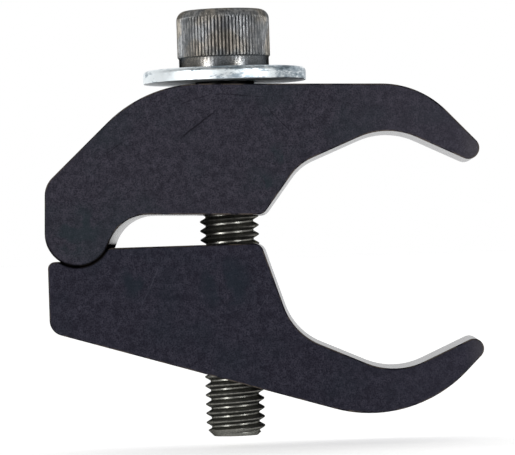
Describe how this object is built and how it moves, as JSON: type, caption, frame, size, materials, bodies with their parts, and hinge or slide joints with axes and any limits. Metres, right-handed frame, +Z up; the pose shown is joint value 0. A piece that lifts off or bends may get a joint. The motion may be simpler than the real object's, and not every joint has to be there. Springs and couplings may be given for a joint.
{
  "type": "pipe clamp",
  "caption": "Hinged two-jaw pipe clamp: black extruded hooks with V seats, drawn together by a socket head cap screw through a flat washer.",
  "frame": {"origin": "centre of the clamped pipe, halfway across the jaws", "axes": "+X out of the clamp's mouth, Y along the pipe, +Z up the screw towards its head"},
  "size_m": [0.0921, 0.035, 0.0912],
  "materials": {
    "upper_jaw_anodise": "black anodised, tumbled, satin",
    "lower_jaw_anodise": "black anodised, tumbled, satin",
    "black_oxide_steel": "black oxide, oiled, worn bright on the knurl",
    "zinc_plate": "bright zinc plate with blue passivation"
  },
  "bodies": {
    "lower_jaw": {"lower_jaw": "lower_jaw_anodise"},
    "upper_jaw": {"upper_jaw": "upper_jaw_anodise"},
    "washer": {"flat_washer": "zinc_plate"},
    "bolt": {"clamp_bolt": "black_oxide_steel"}
  },
  "joints": [
    {"name": "washer_travel", "type": "slide", "parent": "lower_jaw", "child": "washer", "axis": [0, 0, 1], "range_m": [-0.00187, 0.00651]},
    {"name": "bolt_spin", "type": "hinge", "parent": "washer", "child": "bolt", "pos_m": [-0.0344, 0, 0.03706], "axis": [0, 0, 1], "range_deg": [-345, 1200]},
    {"name": "jaw_swing", "type": "hinge", "parent": "lower_jaw", "child": "upper_jaw", "pos_m": [-0.0661, 0, 0.00557], "axis": [0, -1, 0], "range_deg": [-2.6, 9]}
  ],
  "couplings": [
    {"joint": "bolt_spin", "follows": "washer_travel", "rad_per_m": 3215.8},
    {"joint": "jaw_swing", "follows": "washer_travel", "rad_per_m": 23.992}
  ]
}
